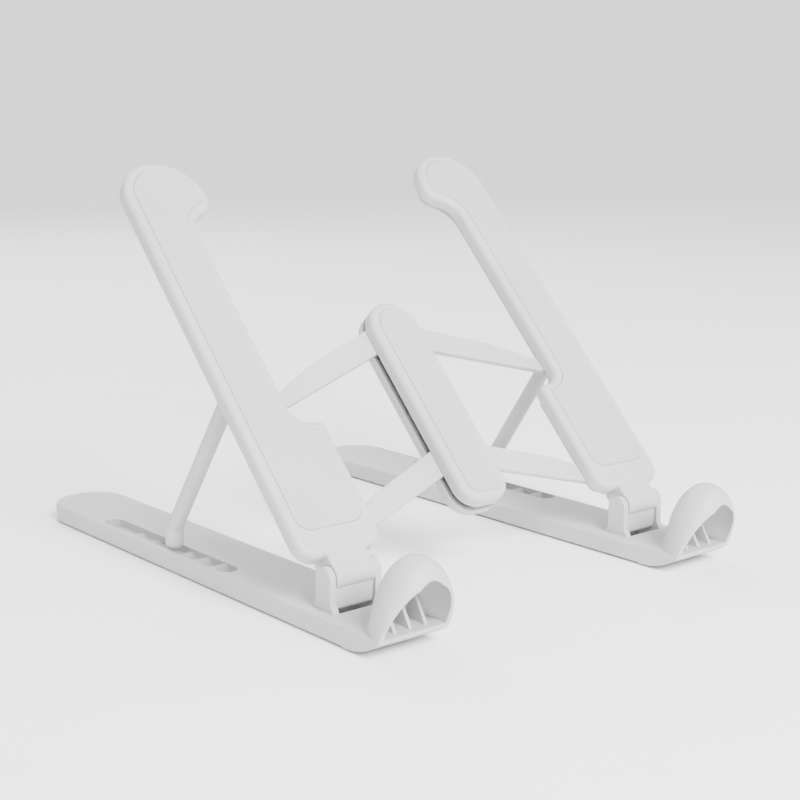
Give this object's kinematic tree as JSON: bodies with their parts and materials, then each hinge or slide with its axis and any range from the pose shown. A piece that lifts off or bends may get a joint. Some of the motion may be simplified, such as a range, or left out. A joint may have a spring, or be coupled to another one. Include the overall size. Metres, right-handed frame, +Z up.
{
  "type": "laptop stand",
  "caption": "Folding desktop laptop stand: hooked bases carry tilting padded arms on notched props, joined by a centre bar on folding links.",
  "frame": {"origin": "desk level, under the centre of the stand as set up", "axes": "+X to the right side arm, +Y from the hooks to the back of the bases, +Z up"},
  "size_m": [0.2016, 0.2674, 0.1706],
  "materials": {
    "base": "matte moulded white",
    "arm_shell": "matte moulded white",
    "arm_cover": "matte moulded white",
    "arm_pad": "matte white silicone",
    "bar_cap": "matte moulded white",
    "bar_lower_shell": "matte moulded white",
    "bar_pad": "matte white silicone",
    "link": "matte moulded white",
    "strut": "matte moulded white",
    "rubber_foot": "matte white rubber",
    "hinge_pin": "matte moulded white",
    "pin": "plain steel",
    "screw": "plain steel"
  },
  "bodies": {
    "base_left": {"base_left": "base", "rubber_foot_front_left": "rubber_foot", "rubber_foot_back_left": "rubber_foot", "hinge_pin_left": "hinge_pin"},
    "arm_left": {"arm_shell_left": "arm_shell", "arm_cover_left": "arm_cover", "arm_pad_left": "arm_pad", "strut_pin_left": "pin", "arm_screw_low_left": "screw", "arm_screw_head_left": "screw", "arm_pivot_pin_lower_left": "pin", "arm_pivot_pin_upper_left": "pin"},
    "strut_left": {"strut_left": "strut"},
    "link_upper_left": {"link_upper_left": "link"},
    "link_lower_left": {"link_lower_left": "link"},
    "base_right": {"base_right": "base", "rubber_foot_front_right": "rubber_foot", "rubber_foot_back_right": "rubber_foot", "hinge_pin_right": "hinge_pin"},
    "arm_right": {"arm_shell_right": "arm_shell", "arm_cover_right": "arm_cover", "arm_pad_right": "arm_pad", "strut_pin_right": "pin", "arm_screw_low_right": "screw", "arm_screw_head_right": "screw", "arm_pivot_pin_lower_right": "pin", "arm_pivot_pin_upper_right": "pin"},
    "strut_right": {"strut_right": "strut"},
    "link_upper_right": {"link_upper_right": "link"},
    "link_lower_right": {"link_lower_right": "link"},
    "centre_bar": {"bar_cap": "bar_cap", "bar_lower_shell": "bar_lower_shell", "bar_pad": "bar_pad", "bar_screw_low": "screw", "bar_screw_high": "screw", "bar_pivot_pin_lower_left": "pin", "bar_pivot_pin_upper_left": "pin", "bar_pivot_pin_lower_right": "pin", "bar_pivot_pin_upper_right": "pin"}
  },
  "joints": [
    {"name": "arm_tilt_left", "type": "hinge", "parent": "base_left", "child": "arm_left", "pos_m": [-0.08103, -0.08475, 0.0212], "axis": [1, 0, 0], "range_deg": [-46.4, 13]},
    {"name": "link_fold", "type": "hinge", "parent": "arm_left", "child": "link_upper_left", "pos_m": [-0.08193, -0.03039, 0.07452], "axis": [0, -0.7242, 0.6896], "range_deg": [0, 59.4]},
    {"name": "link_lower_left_turn", "type": "hinge", "parent": "arm_left", "child": "link_lower_left", "pos_m": [-0.08193, -0.07418, 0.02853], "axis": [0, -0.7242, 0.6896], "range_deg": [-0.5, 59.9]},
    {"name": "bar_turn", "type": "hinge", "parent": "link_upper_left", "child": "centre_bar", "pos_m": [-0.007, -0.01107, 0.09481], "axis": [0, -0.7242, 0.6896], "range_deg": [-59.9, 0.5]},
    {"name": "link_upper_right_turn", "type": "hinge", "parent": "centre_bar", "child": "link_upper_right", "pos_m": [0.007, -0.01107, 0.09481], "axis": [0, -0.7242, 0.6896], "range_deg": [-59.9, 0.5]},
    {"name": "link_lower_right_turn", "type": "hinge", "parent": "centre_bar", "child": "link_lower_right", "pos_m": [0.007, -0.05486, 0.04882], "axis": [0, -0.7242, 0.6896], "range_deg": [-59.9, 0.5]},
    {"name": "arm_right_turn", "type": "hinge", "parent": "link_upper_right", "child": "arm_right", "pos_m": [0.08193, -0.03039, 0.07452], "axis": [0, -0.7242, 0.6896], "range_deg": [-0.5, 59.9]},
    {"name": "arm_tilt_right", "type": "hinge", "parent": "arm_right", "child": "base_right", "pos_m": [0.08103, -0.08475, 0.0212], "axis": [1, 0, 0], "range_deg": [-13.5, 46.9]},
    {"name": "strut_swing_left", "type": "hinge", "parent": "arm_left", "child": "strut_left", "pos_m": [-0.09213, -0.02345, 0.08296], "axis": [1, 0, 0], "range_deg": [-28.87, 101.75]},
    {"name": "strut_swing_right", "type": "hinge", "parent": "arm_right", "child": "strut_right", "pos_m": [0.09213, -0.02345, 0.08296], "axis": [1, 0, 0], "range_deg": [-28.87, 101.75]}
  ],
  "couplings": [
    {"joint": "link_lower_left_turn", "follows": "link_fold", "ratio": 1},
    {"joint": "bar_turn", "follows": "link_fold", "ratio": -1},
    {"joint": "link_upper_right_turn", "follows": "link_fold", "ratio": -1},
    {"joint": "link_lower_right_turn", "follows": "link_fold", "ratio": -1},
    {"joint": "arm_right_turn", "follows": "link_fold", "ratio": 1},
    {"joint": "arm_tilt_right", "follows": "arm_tilt_left", "ratio": -1},
    {"joint": "strut_swing_left", "follows": "arm_tilt_left", "ratio": -2.1822},
    {"joint": "strut_swing_right", "follows": "arm_tilt_left", "ratio": -2.1822}
  ]
}
